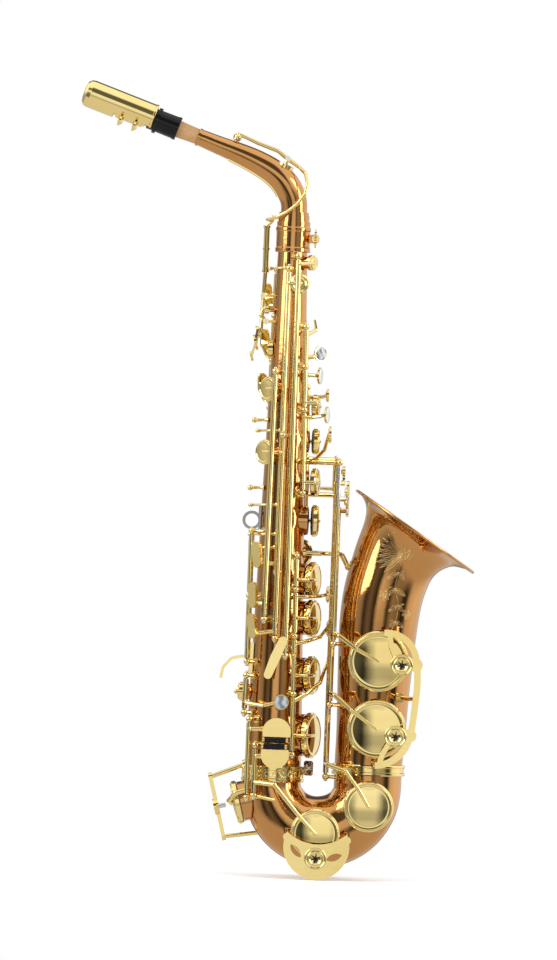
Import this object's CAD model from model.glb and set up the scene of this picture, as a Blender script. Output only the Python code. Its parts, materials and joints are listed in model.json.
import json
import math
import random

import bmesh
import bpy
import numpy as np
from mathutils import Matrix, Vector
from mathutils.bvhtree import BVHTree


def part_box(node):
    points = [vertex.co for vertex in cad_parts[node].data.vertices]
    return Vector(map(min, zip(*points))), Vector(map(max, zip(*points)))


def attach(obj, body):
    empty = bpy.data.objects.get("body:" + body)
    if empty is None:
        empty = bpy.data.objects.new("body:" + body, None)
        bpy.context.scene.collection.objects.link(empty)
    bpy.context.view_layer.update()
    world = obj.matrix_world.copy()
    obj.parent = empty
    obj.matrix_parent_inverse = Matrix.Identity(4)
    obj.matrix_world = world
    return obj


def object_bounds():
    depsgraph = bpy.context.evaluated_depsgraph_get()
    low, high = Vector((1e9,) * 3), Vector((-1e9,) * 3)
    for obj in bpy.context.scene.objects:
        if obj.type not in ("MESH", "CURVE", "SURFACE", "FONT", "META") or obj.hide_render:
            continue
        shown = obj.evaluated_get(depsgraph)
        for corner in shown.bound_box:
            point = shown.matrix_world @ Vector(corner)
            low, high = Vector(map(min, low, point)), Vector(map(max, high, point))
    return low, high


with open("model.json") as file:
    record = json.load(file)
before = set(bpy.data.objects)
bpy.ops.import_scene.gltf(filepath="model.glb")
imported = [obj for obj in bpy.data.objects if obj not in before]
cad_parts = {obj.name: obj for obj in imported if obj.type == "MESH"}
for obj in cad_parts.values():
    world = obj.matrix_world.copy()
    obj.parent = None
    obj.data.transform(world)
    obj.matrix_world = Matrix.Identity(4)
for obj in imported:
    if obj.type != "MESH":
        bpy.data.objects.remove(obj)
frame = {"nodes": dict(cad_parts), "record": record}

CAD_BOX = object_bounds()
NODES = frame["nodes"]
BODIES = frame["record"]["behaviour"]["bodies"]
BODY_OF = {node: body for body, members in BODIES.items() for node in members}
MM = 0.001
FULL_TURN = 2 * math.pi

# The body tube's axis stands at this place in the frame; heights below are
# measured from the joint between the tube and the bow.
AXIS_X = 26.0
FOOT_Z = -212.3
# The way the E flat key's cup faces.
EFLAT_OUTWARD = Vector((-0.9681, 0, -0.2504))


def at(x, y, z):
    """Frame position in metres of a point measured from the foot of the body tube."""
    return Vector(((x + AXIS_X) * MM, y * MM, (z + FOOT_Z) * MM))


# --- materials --------------------------------------------------------------------
def node_material(name):
    """A new material, with its node tree and its shader."""
    made = bpy.data.materials.new(name)
    made.use_nodes = True
    tree = made.node_tree
    shader = tree.nodes["Principled BSDF"]
    return made, tree, shader


def add_node(tree, kind, inputs=None, **settings):
    """A new node with its settings and the values of its unlinked inputs."""
    node = tree.nodes.new(kind)
    for key, value in settings.items():
        setattr(node, key, value)
    for key, value in (inputs or {}).items():
        node.inputs[key].default_value = value
    return node


def object_coords(tree):
    return add_node(tree, "ShaderNodeTexCoord").outputs["Object"]


def noise(tree, coords, scale, detail=4.0, rough=0.55, stretch=None):
    """Cloudy pattern from 0 to 1; stretch scales it differently along x, y and z."""
    if stretch:
        mapping = add_node(tree, "ShaderNodeMapping", {"Scale": stretch})
        tree.links.new(coords, mapping.inputs["Vector"])
        coords = mapping.outputs["Vector"]
    node = add_node(tree, "ShaderNodeTexNoise", {"Scale": scale, "Detail": detail, "Roughness": rough})
    tree.links.new(coords, node.inputs["Vector"])
    return node.outputs["Fac"]


def ramp(tree, factor, stops):
    """Colour that follows a factor through (place, colour) stops."""
    node = add_node(tree, "ShaderNodeValToRGB")
    elements = node.color_ramp.elements
    while len(elements) < len(stops):
        elements.new(0.5)
    for element, (place, colour) in zip(elements, stops):
        element.position = place
        element.color = (*colour, 1.0)
    tree.links.new(factor, node.inputs["Fac"])
    return node.outputs["Color"]


def spread(tree, factor, low, high):
    """Turn a factor from 0 to 1 into a value from low to high."""
    node = add_node(tree, "ShaderNodeMapRange", {"To Min": low, "To Max": high})
    tree.links.new(factor, node.inputs["Value"])
    return node.outputs["Result"]


def bump(tree, shader, height, strength, distance):
    """Fine relief on a shader; distance is in metres."""
    node = add_node(tree, "ShaderNodeBump", {"Strength": strength, "Distance": distance})
    tree.links.new(height, node.inputs["Height"])
    tree.links.new(node.outputs["Normal"], shader.inputs["Normal"])


def lacquered(name, dark, light, rough, coat):
    """Polished metal under clear lacquer: slow colour drift, orange peel, hairline wear."""
    made, tree, shader = node_material(name)
    coords = object_coords(tree)
    drift = noise(tree, coords, 14.0, 3.0)
    colour = ramp(tree, drift, [(0.3, dark), (0.7, light)])
    tree.links.new(colour, shader.inputs["Base Color"])
    wear = noise(tree, coords, 90.0, 6.0, 0.7)
    tree.links.new(spread(tree, wear, rough * 0.6, rough * 1.5), shader.inputs["Roughness"])
    peel = noise(tree, coords, 260.0, 2.0)
    bump(tree, shader, peel, 0.05, 0.0004)
    shader.inputs["Metallic"].default_value = 1.0
    shader.inputs["Coat Weight"].default_value = coat
    shader.inputs["Coat Roughness"].default_value = 0.04
    shader.inputs["Coat IOR"].default_value = 1.5
    return made


COPPER = lacquered("copper_lacquer", (0.52, 0.245, 0.075), (0.62, 0.320, 0.112), 0.06, 0.15)
GOLD = lacquered("gold_lacquer", (0.81, 0.62, 0.23), (0.89, 0.72, 0.32), 0.06, 0.15)
ENGRAVED = lacquered("engraved_line", (0.80, 0.60, 0.26), (0.90, 0.74, 0.38), 0.22, 0.0)
STEEL = lacquered("bright_steel", (0.60, 0.59, 0.57), (0.74, 0.73, 0.71), 0.16, 0.0)
NICKEL = lacquered("dull_nickel", (0.25, 0.24, 0.22), (0.40, 0.39, 0.36), 0.2, 0.0)
BLUED = lacquered("blued_steel", (0.05, 0.06, 0.09), (0.12, 0.14, 0.19), 0.2, 0.0)


def ebonite_material():
    """Polished hard rubber with a faint grain."""
    made, tree, shader = node_material("ebonite")
    coords = object_coords(tree)
    tint = noise(tree, coords, 60.0)
    colour = ramp(tree, tint, [(0.35, (0.003, 0.003, 0.004)), (0.75, (0.008, 0.008, 0.008))])
    tree.links.new(colour, shader.inputs["Base Color"])
    grain = noise(tree, coords, 900.0, 3.0)
    tree.links.new(spread(tree, grain, 0.10, 0.20), shader.inputs["Roughness"])
    bump(tree, shader, grain, 0.08, 0.0002)
    shader.inputs["Specular IOR Level"].default_value = 0.22
    return made


def cork_material():
    """Pressed cork: fine cells with dark pores."""
    made, tree, shader = node_material("cork")
    coords = object_coords(tree)
    cells = add_node(tree, "ShaderNodeTexVoronoi", {"Scale": 900.0})
    tree.links.new(coords, cells.inputs["Vector"])
    colour = ramp(tree, cells.outputs["Distance"], [
        (0.0, (0.33, 0.17, 0.065)), (0.35, (0.38, 0.21, 0.085)), (0.8, (0.43, 0.25, 0.11)),
    ])
    pores = noise(tree, coords, 340.0, 5.0, 0.7)
    flecks = ramp(tree, pores, [(0.30, (0.55, 0.40, 0.30)), (0.38, (1.0, 1.0, 1.0))])
    mix = add_node(tree, "ShaderNodeMix", data_type="RGBA", blend_type="MULTIPLY")
    mix.inputs["Factor"].default_value = 0.75
    tree.links.new(colour, mix.inputs[6])
    tree.links.new(flecks, mix.inputs[7])
    tree.links.new(mix.outputs[2], shader.inputs["Base Color"])
    shader.inputs["Roughness"].default_value = 0.82
    bump(tree, shader, pores, 0.5, 0.0003)
    return made


def cane_material():
    """Reed cane, with fibres along its length."""
    made, tree, shader = node_material("cane")
    coords = object_coords(tree)
    fibres = noise(tree, coords, 500.0, 4.0, 0.6, (0.08, 1.0, 0.25))
    colour = ramp(tree, fibres, [(0.35, (0.55, 0.40, 0.17)), (0.7, (0.78, 0.63, 0.33))])
    tree.links.new(colour, shader.inputs["Base Color"])
    shader.inputs["Roughness"].default_value = 0.55
    bump(tree, shader, fibres, 0.3, 0.0002)
    return made


def pad_material():
    """Tan kid leather of the pads."""
    made, tree, shader = node_material("pad_leather")
    coords = object_coords(tree)
    grain = add_node(tree, "ShaderNodeTexVoronoi", {"Scale": 700.0})
    tree.links.new(coords, grain.inputs["Vector"])
    shade = noise(tree, coords, 45.0)
    colour = ramp(tree, shade, [(0.3, (0.20, 0.105, 0.055)), (0.7, (0.34, 0.19, 0.10))])
    tree.links.new(colour, shader.inputs["Base Color"])
    shader.inputs["Roughness"].default_value = 0.62
    bump(tree, shader, grain.outputs["Distance"], 0.35, 0.0003)
    return made


def pearl_material(name, dark, light):
    """Mother-of-pearl: layered bands that drift in hue, under a clear polish."""
    made, tree, shader = node_material(name)
    coords = object_coords(tree)
    warp = noise(tree, coords, 120.0, 3.0)
    wave = add_node(tree, "ShaderNodeTexWave", {"Scale": 45.0, "Distortion": 14.0, "Detail": 3.0})
    tree.links.new(coords, wave.inputs["Vector"])
    layers = add_node(tree, "ShaderNodeMix", data_type="FLOAT")
    layers.inputs["Factor"].default_value = 0.5
    tree.links.new(warp, layers.inputs[2])
    tree.links.new(wave.outputs["Fac"], layers.inputs[3])
    middle = tuple((a + b) * 0.5 * t for a, b, t in zip(dark, light, (0.96, 1.02, 1.06)))
    colour = ramp(tree, layers.outputs[0], [(0.2, dark), (0.5, middle), (0.8, light)])
    tree.links.new(colour, shader.inputs["Base Color"])
    shader.inputs["Roughness"].default_value = 0.22
    shader.inputs["Coat Weight"].default_value = 0.8
    shader.inputs["Coat Roughness"].default_value = 0.03
    bump(tree, shader, wave.outputs["Fac"], 0.05, 0.0002)
    return made


EBONITE = ebonite_material()
CORK = cork_material()
CANE = cane_material()
LEATHER = pad_material()
PEARL = pearl_material("pearl", (0.34, 0.35, 0.32), (0.62, 0.62, 0.57))
SMOKED_PEARL = pearl_material("smoked_pearl", (0.10, 0.11, 0.12), (0.42, 0.44, 0.46))


# --- which finish each CAD node takes ------------------------------------------------
COPPER_NODES = ["body_tube", "bow", "bell", "neck_tube", "neck_receiver", "bell_rim"]
STEEL_NODES = ["pivot_rods", "octave_screw", "guard_bumpers"]
OTHER_NODES = {
    "neck_cork": CORK, "mouthpiece": EBONITE, "reed": CANE, "strap_ring": NICKEL,
}
SMOKED_NODES = ("front_f_key", "trill_key")

# The finishes of a key, in the order of its material slots, and the sizes in
# millimetres that tell a key's loose parts from each other: a roller is far longer
# than it is thick, a pearl is thinner than any pad.
KEY_FINISHES = (GOLD, LEATHER, PEARL, EBONITE, SMOKED_PEARL)
METAL, PAD, PEARL_DISC, ROLLER, SMOKED_DISC = range(len(KEY_FINISHES))
ROLLER_STRETCH = 2.5
THICKEST_PEARL = 2.3


def islands(mesh):
    """Groups of polygons that hang together, by position, and the points of each."""
    co = np.zeros(len(mesh.vertices) * 3)
    mesh.vertices.foreach_get("co", co)
    co = co.reshape(-1, 3)
    keys = {}
    merged = [keys.setdefault(tuple(row), len(keys)) for row in np.round(co, 7).tolist()]
    parent = list(range(len(keys)))

    def root(index):
        while parent[index] != index:
            parent[index] = parent[parent[index]]
            index = parent[index]
        return index

    for polygon in mesh.polygons:
        first = root(merged[polygon.vertices[0]])
        for vertex in polygon.vertices[1:]:
            other = root(merged[vertex])
            if other != first:
                parent[other] = first
    groups = {}
    for polygon in mesh.polygons:
        groups.setdefault(root(merged[polygon.vertices[0]]), []).append(polygon.index)
    found = []
    for members in groups.values():
        used = {v for index in members for v in mesh.polygons[index].vertices}
        found.append((members, co[sorted(used)]))
    return found


def principal_axes(points):
    """Unit directions of a point cloud's own axes, longest first."""
    return np.linalg.svd(points - points.mean(0), full_matrices=False)[2]


def extents(points):
    """Lengths of a point cloud along its own axes, shortest first."""
    centred = points - points.mean(0)
    along = centred @ principal_axes(points).T
    return sorted((along.max(0) - along.min(0)) / MM)


def loose_parts(node):
    """The islands of a key apart from its metalwork, which has the most faces."""
    found = islands(NODES[node].data)
    found.sort(key=lambda group: len(group[0]), reverse=True)
    return found[1:]


def part_kind(node, points):
    """Which finish a loose part of a key takes, by its shape."""
    short, middle, long = extents(points)
    if long > ROLLER_STRETCH * middle:
        return ROLLER
    if short < THICKEST_PEARL:
        return SMOKED_DISC if node in SMOKED_NODES else PEARL_DISC
    return PAD


def dress(node):
    """Give a CAD node its finish; the loose parts of a key get theirs one by one."""
    mesh = NODES[node].data
    mesh.materials.clear()
    if node in COPPER_NODES:
        mesh.materials.append(COPPER)
    elif node in STEEL_NODES:
        mesh.materials.append(STEEL)
    elif node in OTHER_NODES:
        mesh.materials.append(OTHER_NODES[node])
    else:
        for finish in KEY_FINISHES:
            mesh.materials.append(finish)
        slots = np.full(len(mesh.polygons), METAL, dtype=np.int32)
        if node.endswith("_key") or node == "gsharp_lever":
            for members, points in loose_parts(node):
                slots[members] = part_kind(node, points)
        mesh.polygons.foreach_set("material_index", slots)


for node in NODES:
    dress(node)


# --- shaping helpers -----------------------------------------------------------------
def finish_piece(name, made, finish, body):
    """Turn a bmesh into an object with one finish that moves with a body."""
    mesh = bpy.data.meshes.new(name)
    bmesh.ops.recalc_face_normals(made, faces=made.faces)
    made.to_mesh(mesh)
    made.free()
    for polygon in mesh.polygons:
        polygon.use_smooth = True
    mesh.materials.append(finish)
    piece = bpy.data.objects.new(name, mesh)
    bpy.context.scene.collection.objects.link(piece)
    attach(piece, body)


def square_to(axis):
    """Two unit directions square to an axis and to each other."""
    axis = axis.normalized()
    helper = Vector((0, 0, 1)) if abs(axis.z) < 0.9 else Vector((1, 0, 0))
    side = axis.cross(helper).normalized()
    return side, axis.cross(side).normalized()


def ring_of(made, centre, side, other, radius, segments):
    """Vertices round a centre, in the plane of two directions."""
    ring = []
    for step in range(segments):
        angle = FULL_TURN * step / segments
        offset = side * math.cos(angle) + other * math.sin(angle)
        ring.append(made.verts.new(centre + offset * radius))
    return ring


def skin(made, rings):
    """Faces between the rings in turn, with a flat cap on the first and the last."""
    for first, second in zip(rings, rings[1:]):
        for step in range(len(first)):
            after = (step + 1) % len(first)
            made.faces.new((first[step], first[after], second[after], second[step]))
    made.faces.new(rings[0][::-1])
    made.faces.new(rings[-1])


def add_tube(made, points, radius, segments):
    """Round wire through the points, with closed ends; radius may be one per point."""
    radii = radius if isinstance(radius, list) else [radius] * len(points)
    rings = []
    side = None
    for index, point in enumerate(points):
        ahead = points[min(index + 1, len(points) - 1)] - points[max(index - 1, 0)]
        ahead.normalize()
        if side is None:
            side = square_to(ahead)[0]
        side = (side - ahead * side.dot(ahead)).normalized()
        rings.append(ring_of(made, point, side, ahead.cross(side), radii[index], segments))
    skin(made, rings)


def add_lathe(made, place, axis, profile, segments, scale=1.0):
    """Turned shape: profile is (radius, height) pairs along the axis, in millimetres."""
    axis = axis.normalized()
    side, other = square_to(axis)
    rings = []
    for radius, height in profile:
        centre = place + axis * height * MM
        rings.append(ring_of(made, centre, side, other, radius * scale * MM, segments))
    skin(made, rings)


def smooth_run(points, count):
    """Catmull-Rom curve through the points."""
    ends = [points[0] * 2 - points[1]] + list(points) + [points[-1] * 2 - points[-2]]
    run = []
    for index in range(1, len(ends) - 2):
        a, b, c, d = ends[index - 1:index + 3]
        for step in range(count):
            t = step / count
            run.append(0.5 * ((2 * b) + (c - a) * t + (2 * a - 5 * b + 4 * c - d) * t * t
                              + (3 * b - a - 3 * c + d) * t * t * t))
    run.append(ends[-2].copy())
    return run


def surface(node):
    """Search tree over the surface of a CAD node, in the frame's metres."""
    piece = NODES[node]
    points = [piece.matrix_world @ vertex.co for vertex in piece.data.vertices]
    faces = [list(polygon.vertices) for polygon in piece.data.polygons]
    return BVHTree.FromPolygons(points, faces)


def to_frame(node, points):
    """Points of a node's mesh in the frame's metres."""
    turn = np.array(NODES[node].matrix_world)
    return points @ turn[:3, :3].T + turn[:3, 3]


def node_islands(node):
    """Loose parts of a node as arrays of points in the frame's metres."""
    return [to_frame(node, points) for _, points in islands(NODES[node].data)]


def middle_of(points):
    """Centre of the box round some points."""
    return Vector((points.min(0) + points.max(0)) / 2)


# --- screws, springs, bumpers and cups -----------------------------------------------
SHORTEST_ROD = 20 * MM
SPRING_SEED = 7
PIVOT_HEAD = ((1.25, 0.0), (1.45, 0.5), (1.4, 1.1), (1.05, 1.5), (0.4, 1.65))
BUMPER_RING = (
    (9.4, -1.0), (9.4, 0.5), (9.0, 1.0), (8.4, 1.0), (8.0, 0.5), (7.0, 0.35), (6.4, 0.9),
    (5.6, 1.1), (4.9, 0.8), (4.6, 0.3),
)
EFLAT_RING_SCALE = 0.7
STAR_ARM = 3.8


def rod_ends():
    """Both ends of each pivot rod, with the direction that points outward."""
    found = []
    for points in node_islands("pivot_rods"):
        centre = points.mean(0)
        axis = principal_axes(points)[0]
        along = (points - centre) @ axis
        if along.max() - along.min() < SHORTEST_ROD:
            continue
        for reach in (along.min(), along.max()):
            outward = Vector(axis * math.copysign(1, reach)).normalized()
            found.append((Vector(centre + axis * reach), outward))
    return found


def pivot_heads():
    """Slotted heads of the pivot screws, seated in the balls of the posts."""
    made = bmesh.new()
    slots = bmesh.new()
    for end, outward in rod_ends():
        seat = end - outward * 0.4 * MM
        add_lathe(made, seat, outward, PIVOT_HEAD, 20)
        side = square_to(outward)[0]
        crown = seat + outward * 1.62 * MM
        add_tube(slots, [crown - side * MM, crown + side * MM], 0.17 * MM, 6)
    finish_piece("pivot_heads", made, STEEL, "horn")
    finish_piece("pivot_head_slots", slots, BLUED, "horn")


def needle_springs():
    """Blued needle springs that run from the posts along each key's tube."""
    made = bmesh.new()
    random.seed(SPRING_SEED)
    for end, outward in rod_ends():
        start = end - outward * 3.0 * MM
        side = square_to(outward)[0]
        turn = random.uniform(0.3, 0.9) * (1 if start.y < 0 else -1)
        lean = (side * math.cos(turn) + outward.cross(side) * math.sin(turn)) * 2.9 * MM
        tip = start - outward * 17 * MM + lean * 1.02
        radii = [0.4 * MM, 0.34 * MM, 0.2 * MM]
        add_tube(made, [start + lean * 0.75, (start + lean + tip) / 2, tip], radii, 6)
    finish_piece("needle_springs", made, BLUED, "horn")


def bumper_marks():
    """Beaded ring and star-shaped driver slot over each of the guards' adjusting bumpers."""
    rings = bmesh.new()
    marks = bmesh.new()
    for points in node_islands("guard_bumpers"):
        centre = middle_of(points)
        on_eflat = centre.x < 0
        axis = EFLAT_OUTWARD if on_eflat else Vector((0, -1, 0))
        scale = EFLAT_RING_SCALE if on_eflat else 1.0
        face = centre + axis * max((Vector(point) - centre).dot(axis) for point in points)
        add_lathe(rings, face, axis, BUMPER_RING, 48, scale)
        side, other = square_to(axis)
        crown = face + axis * 0.45 * MM
        for turn in range(3):
            angle = math.pi * turn / 3 + 0.35
            arm = (side * math.cos(angle) + other * math.sin(angle)) * STAR_ARM * scale * MM
            radii = [0.3 * MM, scale * MM, 0.3 * MM]
            add_tube(marks, [crown - arm, crown, crown + arm], radii, 8)
    finish_piece("bumper_rings", rings, GOLD, "horn")
    finish_piece("bumper_stars", marks, EBONITE, "horn")


SMALLEST_PAD = 9.0
CUP_PROBES = 12
PROBE_REACH = 30 * MM
PROBE_SHARE = 0.86
DOME_STEPS = 8
DOME_RISE = 0.085
RIM_SHARE = 0.97


def cup_back(tree, centre, axis, radius):
    """Height over the pad's centre, and direction, of the closed side of its cup."""
    across = square_to(axis)[0]
    sides = []
    for out in (-axis, axis):
        heights = []
        for step in range(CUP_PROBES):
            spin = Matrix.Rotation(FULL_TURN * step / CUP_PROBES, 3, axis)
            start = centre + spin @ across * radius * PROBE_SHARE + out * PROBE_REACH
            spot = tree.ray_cast(start, -out, PROBE_REACH)[0]
            if spot is not None:
                heights.append((spot - centre).dot(out))
        if heights:
            sides.append((sorted(heights)[len(heights) // 2], out))
    return max(sides, key=lambda found: found[0], default=None)


def dome_profile(rim):
    """Bead round the rim, then a shallow dome, for a rim radius in millimetres."""
    profile = [(rim, 0.0), (rim + 0.25, 0.35), (rim, 0.75), (rim - 0.7, 0.8), (rim - 1.1, 0.45)]
    for step in range(1, DOME_STEPS + 1):
        share = 1 - step / (DOME_STEPS + 0.5)
        rise = DOME_RISE * rim / RIM_SHARE * (1 - share * share)
        profile.append((share * (rim - 1.2), 0.4 + rise))
    return profile


def cup_crowns():
    """Spun crown with a beaded rim over the flat back of every pad cup."""
    for node in NODES:
        if not node.endswith("_key"):
            continue
        tree = surface(node)
        made = bmesh.new()
        for _, local in loose_parts(node):
            breadth = extents(local)[2]
            if part_kind(node, local) != PAD or breadth < SMALLEST_PAD:
                continue
            points = to_frame(node, local)
            centre = middle_of(points)
            axis = Vector(principal_axes(points)[2])
            found = cup_back(tree, centre, axis, breadth / 2 * MM)
            if found is None:
                continue
            level, out = found
            seat = centre + out * (level - 0.1 * MM)
            add_lathe(made, seat, out, dome_profile(breadth / 2 * RIM_SHARE), 48)
        if made.verts:
            finish_piece(node + "_crown", made, GOLD, BODY_OF[node])
        else:
            made.free()


# --- engraving and relief -------------------------------------------------------------
LEAF_STATIONS = (0, 0.15, 0.3, 0.5, 0.7, 0.85, 1.0)
PETALS = 6
BLOOM_POINTS = 12
FAN_LEAVES = 9
FAN_START = 112
FAN_STEP = 14
STEM = [Vector(p) for p in ((0, -2), (-3, -14), (-5, -28), (-2, -42), (-4, -56), (-9, -68))]
THREAD_STEP = 1.5


def heading(angle):
    """Unit direction on the flat."""
    return Vector((math.cos(angle), math.sin(angle)))


def leaf(base, angle, length, width, veins):
    """Outline, midrib and veins of a leaf on the flat, as lists of points in millimetres."""
    ahead = heading(angle)
    side = Vector((-ahead.y, ahead.x))
    lines = []
    for hand in (-1, 1):
        lines.append([base + ahead * length * t + side * hand * width * math.sin(math.pi * t ** 0.8)
                      for t in LEAF_STATIONS])
    lines.append([base, base + ahead * length * 0.8])
    for index in range(veins):
        root = base + ahead * length * (0.25 + 0.5 * index / max(veins - 1, 1))
        for hand in (-1, 1):
            lines.append([root, root + ahead * length * 0.14 + side * hand * width * 0.55])
    return lines


def flower(centre, radius, start=0.0):
    """Bloom of narrow petals round a small ring."""
    lines = []
    for index in range(PETALS):
        angle = start + FULL_TURN * index / PETALS
        foot = centre + heading(angle) * radius * 0.22
        lines += leaf(foot, angle, radius * 0.8, radius * 0.24, 0)
    ring = [centre + heading(FULL_TURN * k / BLOOM_POINTS) * radius * 0.2
            for k in range(BLOOM_POINTS + 1)]
    return lines + [ring]


def spray():
    """Generic flower spray: a fan of long leaves, a bloom and a trailing stem."""
    lines = []
    for index in range(FAN_LEAVES):
        angle = math.radians(FAN_START + FAN_STEP * index)
        length = 25 - 0.9 * abs(index - FAN_LEAVES // 2)
        lines += leaf(Vector((0.0, 0.0)), angle, length, 1.7, 0)
    lines += flower(Vector((4.0, 1.0)), 5.0)
    lines.append(smooth_run(STEM, 6))
    for index, place in enumerate(STEM[1:]):
        hand = 1 if index % 2 else -1
        lines += leaf(place, math.radians(-90 + hand * 55), 12 - index, 1.9, 2)
        lines += leaf(place, math.radians(-90 - hand * 40), 9 - index * 0.6, 1.6, 1)
        curl = []
        for k in range(9):
            turn = 0.55 * k
            sideways = hand * (2 + turn) * math.cos(turn)
            curl.append(place + Vector((sideways, 0.8 * k - 4 + 1.2 * math.sin(turn))))
        lines.append(curl)
    lines += flower(Vector((-14, -34)), 5.0, 0.3)
    lines += flower(Vector((6, -50)), 4.5, 0.1)
    return lines


def engrave(name, node, lines, place, radius):
    """Draw flat lines on the front of a node as fine threads half sunk in its surface."""
    inward = Vector((0, 1, 0))
    tree = surface(node)
    made = bmesh.new()
    for line in lines:
        run = []
        for first, second in zip(line, line[1:]):
            steps = max(1, round((second - first).length / THREAD_STEP))
            run += [first.lerp(second, k / steps) for k in range(steps)]
        run.append(line[-1])
        hits = []
        for point in run:
            start = place + Vector((point.x, 0, point.y)) * MM - inward * 0.05
            spot = tree.ray_cast(start, inward, 0.12)[0]
            if spot is not None:
                hits.append(spot)
        if len(hits) > 1:
            add_tube(made, hits, radius, 6)
    finish_piece(name, made, ENGRAVED, "horn")


BAND_POINTS = 120
BAND_WAVES = 12
BAND_LEAVES = 24
BAND_THREAD = 0.35 * MM
# The scroll keeps to this share of the ferrule's height.
BAND_SHARE = 0.55


def ferrule_band():
    """Leaf scroll in low relief round the ferrule between the tube and the bow."""
    tree = surface("body_bow_ferrule")
    made = bmesh.new()
    centre = at(0, 0, 0)
    low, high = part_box("body_bow_ferrule")
    middle = (low.z + high.z) / 2
    half = (high.z - low.z) / 2 * BAND_SHARE

    def spot(angle, rise):
        out = Vector((math.cos(angle), math.sin(angle), 0))
        start = Vector((centre.x, centre.y, middle + half * rise)) + out * 0.08
        return tree.ray_cast(start, -out, 0.08)[0]

    wave = []
    for k in range(BAND_POINTS + 1):
        angle = FULL_TURN * k / BAND_POINTS
        wave.append(spot(angle, 0.7 * math.sin(BAND_WAVES * angle)))
    runs = [wave]
    for k in range(BAND_LEAVES):
        base = FULL_TURN * k / BAND_LEAVES
        hand = 1 if k % 2 else -1
        runs.append([spot(base + 0.02 * j, hand * 0.55 * math.sin(0.5 * j)) for j in range(7)])
        runs.append([spot(base + 0.012 * j, -hand * 0.75 * math.sin(0.45 * j)) for j in range(7)])
    for run in runs:
        chain = []
        for hit in run + [None]:
            if hit is not None:
                chain.append(hit)
                continue
            if len(chain) > 1:
                add_tube(made, chain, BAND_THREAD, 8)
            chain = []
    finish_piece("ferrule_scroll", made, GOLD, "horn")


# --- guides, stubs and clamp ----------------------------------------------------------
# Ends of the cross wires, and foot and tip of the stub posts, measured as at() does.
CROSS_WIRES = (
    ((-23.7, -9, 288.6), (-4.6, -21.6, 289.4)),
    ((-27.6, -12, 225.2), (-5.0, -22.4, 226.2)),
    ((-27.0, -12, 200.1), (-5.2, -23.0, 201.3)),
    ((-21.6, -17, 189.3), (-5.4, -23.4, 190.1)),
    ((-18.4, -4, 427.0), (-6.0, -17.5, 427.9)),
)
STUB_POSTS = (
    ((-16.5, -8, 240.4), (-29.2, -8, 239.8)),
    ((-15.0, -7, 298.0), (-27.2, -7, 297.5)),
)
# Turned profiles, as (radius, height) in millimetres.
WIRE_COLLAR = ((1.2, 0), (1.9, 0.5), (1.9, 2.7), (1.2, 3.2))
STUB_PROFILE = (
    (2.6, 0), (2.4, 1.2), (1.5, 2.2), (1.2, 5.0), (1.2, 8.0), (1.7, 8.6), (1.2, 9.2),
    (1.3, 10.0), (2.1, 10.9), (2.4, 12.0), (2.1, 13.2), (1.2, 14.0),
)
CLAMP_SCREW = ((1.9, -0.4), (1.9, 0.6), (1.5, 0.9), (1.2, 0.5), (0.3, 0.5))
CLAMP_SIZE = (8.0, 6.0, 12.5)


def rod_guides():
    """Cross wires that steady the long rods, and two stub posts with ball ends."""
    made = bmesh.new()
    upward = Vector((0, 0, 1))
    for start, end in CROSS_WIRES:
        add_tube(made, [at(*start), at(*end)], 1.05 * MM, 14)
        for place in (start, end):
            add_lathe(made, at(*place) - upward * 1.6 * MM, upward, WIRE_COLLAR, 18)
    for root, tip in STUB_POSTS:
        add_lathe(made, at(*root), at(*tip) - at(*root), STUB_PROFILE, 24)
    finish_piece("rod_guides", made, GOLD, "horn")


def ferrule_clamp():
    """Lug and screws that draw the ferrule tight on the bow."""
    made = bmesh.new()
    size = Matrix.Diagonal((*(side * MM for side in CLAMP_SIZE), 1.0))
    bmesh.ops.create_cube(made, size=1.0, matrix=Matrix.Translation(at(30.2, -6, 2.9)) @ size)
    bmesh.ops.bevel(made, geom=list(made.edges), offset=0.9 * MM, segments=3, affect="EDGES")
    finish_piece("ferrule_clamp", made, STEEL, "horn")
    screws = bmesh.new()
    for height in (-0.4, 6.2):
        add_lathe(screws, at(30.8, -9.0, height), Vector((0, -1, 0)), CLAMP_SCREW, 24)
    finish_piece("ferrule_screws", screws, BLUED, "horn")


rod_guides()
ferrule_clamp()
pivot_heads()
needle_springs()
bumper_marks()
cup_crowns()
engrave("bell_engraving", "bell", spray(), at(103, -20, 187), 0.14 * MM)
ferrule_band()


# --- stage ---------------------------------------------------------------------------
FLOOR_HALF = 1.4
FLOOR_GAP = 0.5 * MM


def floor():
    """Pale paper just under the instrument."""
    low, _ = CAD_BOX
    mesh = bpy.data.meshes.new("studio_floor")
    made = bmesh.new()
    bmesh.ops.create_grid(made, x_segments=8, y_segments=8, size=FLOOR_HALF)
    made.to_mesh(mesh)
    made.free()
    piece = bpy.data.objects.new("studio_floor", mesh)
    piece.location = (0, 0, low.z - FLOOR_GAP)
    piece.visible_glossy = False
    bpy.context.scene.collection.objects.link(piece)
    finish, tree, shader = node_material("studio_paper")
    tone = noise(tree, object_coords(tree), 3.0)
    colour = ramp(tree, tone, [(0.3, (0.95, 0.95, 0.945)), (0.7, (0.98, 0.98, 0.975))])
    tree.links.new(colour, shader.inputs["Base Color"])
    shader.inputs["Roughness"].default_value = 0.9
    mesh.materials.append(finish)


def light(name, place, size):
    """A soft box that faces the middle of the instrument."""
    data = bpy.data.lights.new(name, "AREA")
    data.shape = "RECTANGLE"
    data.size, data.size_y = size
    data.energy = 30
    piece = bpy.data.objects.new(name, data)
    piece.location = place
    aim = (CAD_BOX[0] + CAD_BOX[1]) / 2
    piece.rotation_euler = (aim - Vector(place)).to_track_quat("-Z", "Y").to_euler()
    bpy.context.scene.collection.objects.link(piece)


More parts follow.
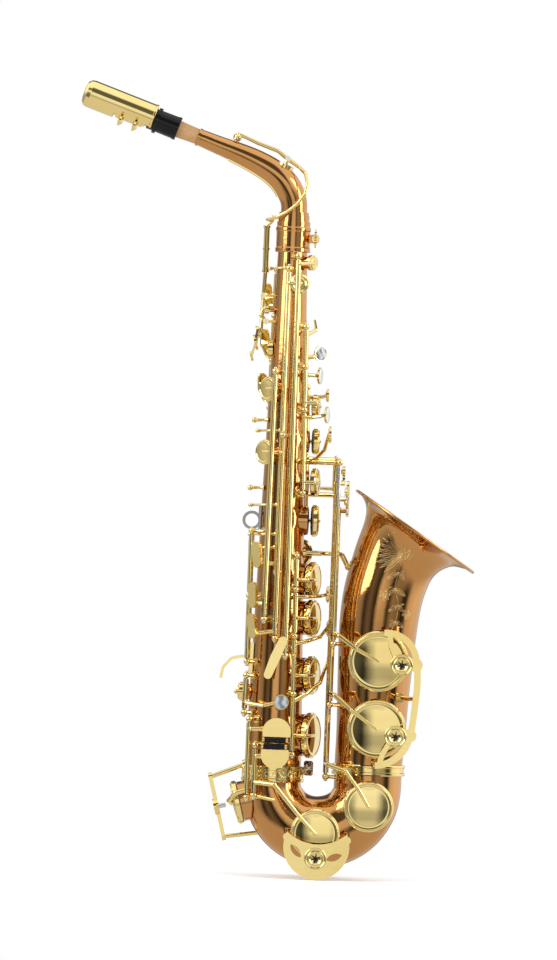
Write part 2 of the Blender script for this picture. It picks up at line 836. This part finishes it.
def remap(tree, value, start, end, steepness="LINEAR"):
    """A value from start to end turned into a factor from 0 to 1."""
    node = add_node(tree, "ShaderNodeMapRange", {
        "From Min": start, "From Max": end, "To Min": 0.0, "To Max": 1.0,
    }, interpolation_type=steepness)
    tree.links.new(value, node.inputs["Value"])
    return node.outputs["Result"]


def calculate(tree, operation, first, second=None):
    """A Math node on one or two linked values."""
    node = add_node(tree, "ShaderNodeMath", operation=operation)
    tree.links.new(first, node.inputs[0])
    if second is not None:
        tree.links.new(second, node.inputs[1])
    return node.outputs["Value"]


def blend_to(tree, factor, under, over, blend="MIX"):
    """Colour mixed from a linked one to another, which is linked or plain."""
    node = add_node(tree, "ShaderNodeMix", data_type="RGBA", blend_type=blend)
    tree.links.new(factor, node.inputs["Factor"])
    tree.links.new(under, node.inputs[6])
    if isinstance(over, tuple):
        node.inputs[7].default_value = (*over, 1.0)
    else:
        tree.links.new(over, node.inputs[7])
    return node.outputs[2]


# Brightness of the tent's wall round the instrument: a quarter is its left, a half the
# side that the camera looks from, three quarters its right.
WALL = (
    (0.0, 0.62), (0.20, 0.42), (0.27, 0.70), (0.333, 0.42), (0.361, 0.05), (0.403, 0.24),
    (0.445, 0.04), (0.472, 1.05), (0.522, 1.05), (0.545, 0.14), (0.583, 0.46), (0.639, 0.36),
    (0.672, 0.04), (0.70, 0.08), (0.736, 1.00), (0.806, 1.20), (0.917, 0.95), (1.0, 0.62),
)
# Brightness up the middle of the front wall: a dim skirting and, above, a dark rail.
FRONT = (
    (0.0, 1.0), (0.30, 1.0), (0.38, 0.50), (0.44, 0.55), (0.49, 1.0), (0.62, 1.0),
    (0.66, 0.12), (0.86, 0.10), (0.92, 1.0), (1.0, 1.0),
)
CEILING = (1.25, 1.25, 1.22)
GROUND = (0.80, 0.77, 0.73)
WHITE = (1.0, 1.0, 1.0)


def studio():
    """Pale tent all round; the panels of its wall run as streaks up the tubes."""
    world = bpy.data.worlds.new("studio")
    bpy.context.scene.world = world
    world.use_nodes = True
    tree = world.node_tree
    tree.nodes.clear()
    parts = add_node(tree, "ShaderNodeSeparateXYZ")
    coords = add_node(tree, "ShaderNodeTexCoord")
    tree.links.new(coords.outputs["Generated"], parts.inputs["Vector"])
    across, depth, height = (parts.outputs[axis] for axis in "XYZ")
    front = add_node(tree, "ShaderNodeMath", operation="MULTIPLY")
    tree.links.new(depth, front.inputs[0])
    front.inputs[1].default_value = -1.0
    azimuth = calculate(tree, "ARCTAN2", across, front.outputs["Value"])
    wall = ramp(tree, remap(tree, azimuth, -math.pi, math.pi),
                [(place, (tone, tone, tone * 0.98)) for place, tone in WALL])
    up = remap(tree, height, 0.12, 0.40, "SMOOTHSTEP")
    down = remap(tree, height, -0.24, -0.46, "SMOOTHSTEP")
    room = blend_to(tree, down, blend_to(tree, up, wall, CEILING), GROUND)
    rails = ramp(tree, remap(tree, height, -1.0, 1.0),
                 [(place, (tone, tone, tone)) for place, tone in FRONT])
    facing = remap(tree, calculate(tree, "ABSOLUTE", across), 0.46, 0.32, "SMOOTHSTEP")
    room = blend_to(tree, facing, room, rails, "MULTIPLY")

    # The tent shows in reflections only; the background and soft light are plain white.
    rays = add_node(tree, "ShaderNodeLightPath")
    plain = calculate(tree, "MAXIMUM", rays.outputs["Is Camera Ray"], rays.outputs["Is Diffuse Ray"])
    background = add_node(tree, "ShaderNodeBackground", {"Strength": 1.0})
    tree.links.new(blend_to(tree, plain, room, WHITE), background.inputs["Color"])
    out = add_node(tree, "ShaderNodeOutputWorld")
    tree.links.new(background.outputs["Background"], out.inputs["Surface"])
    light("softbox_left", (-1.9, -1.3, 1.2), (1.2, 2.0))
    light("softbox_right", (2.1, -0.9, 0.9), (0.9, 2.0))


LENS_DISTANCE = 8.0
# Height in metres that the picture shows at the instrument.
SHOWN_HEIGHT = 0.8183
# The instrument leans this far from upright in the picture.
LEAN = math.radians(2.2)


def camera():
    """Long lens, square to the key side."""
    data = bpy.data.cameras.new("camera")
    data.sensor_width = 36.0
    data.lens = data.sensor_width * LENS_DISTANCE / SHOWN_HEIGHT
    data.clip_start = 0.5
    data.clip_end = 60.0
    piece = bpy.data.objects.new("camera", data)
    back = Vector((0, -1, 0))
    up = Vector((-math.sin(LEAN), 0, math.cos(LEAN)))
    right = Vector((math.cos(LEAN), 0, math.sin(LEAN)))
    axes = Matrix((right, up, back)).transposed().to_4x4()
    piece.matrix_world = Matrix.Translation(at(-4.6, 0, 247.2) + back * LENS_DISTANCE) @ axes
    bpy.context.scene.collection.objects.link(piece)
    bpy.context.scene.camera = piece


floor()
studio()
camera()
bpy.context.scene.view_settings.view_transform = "Standard"
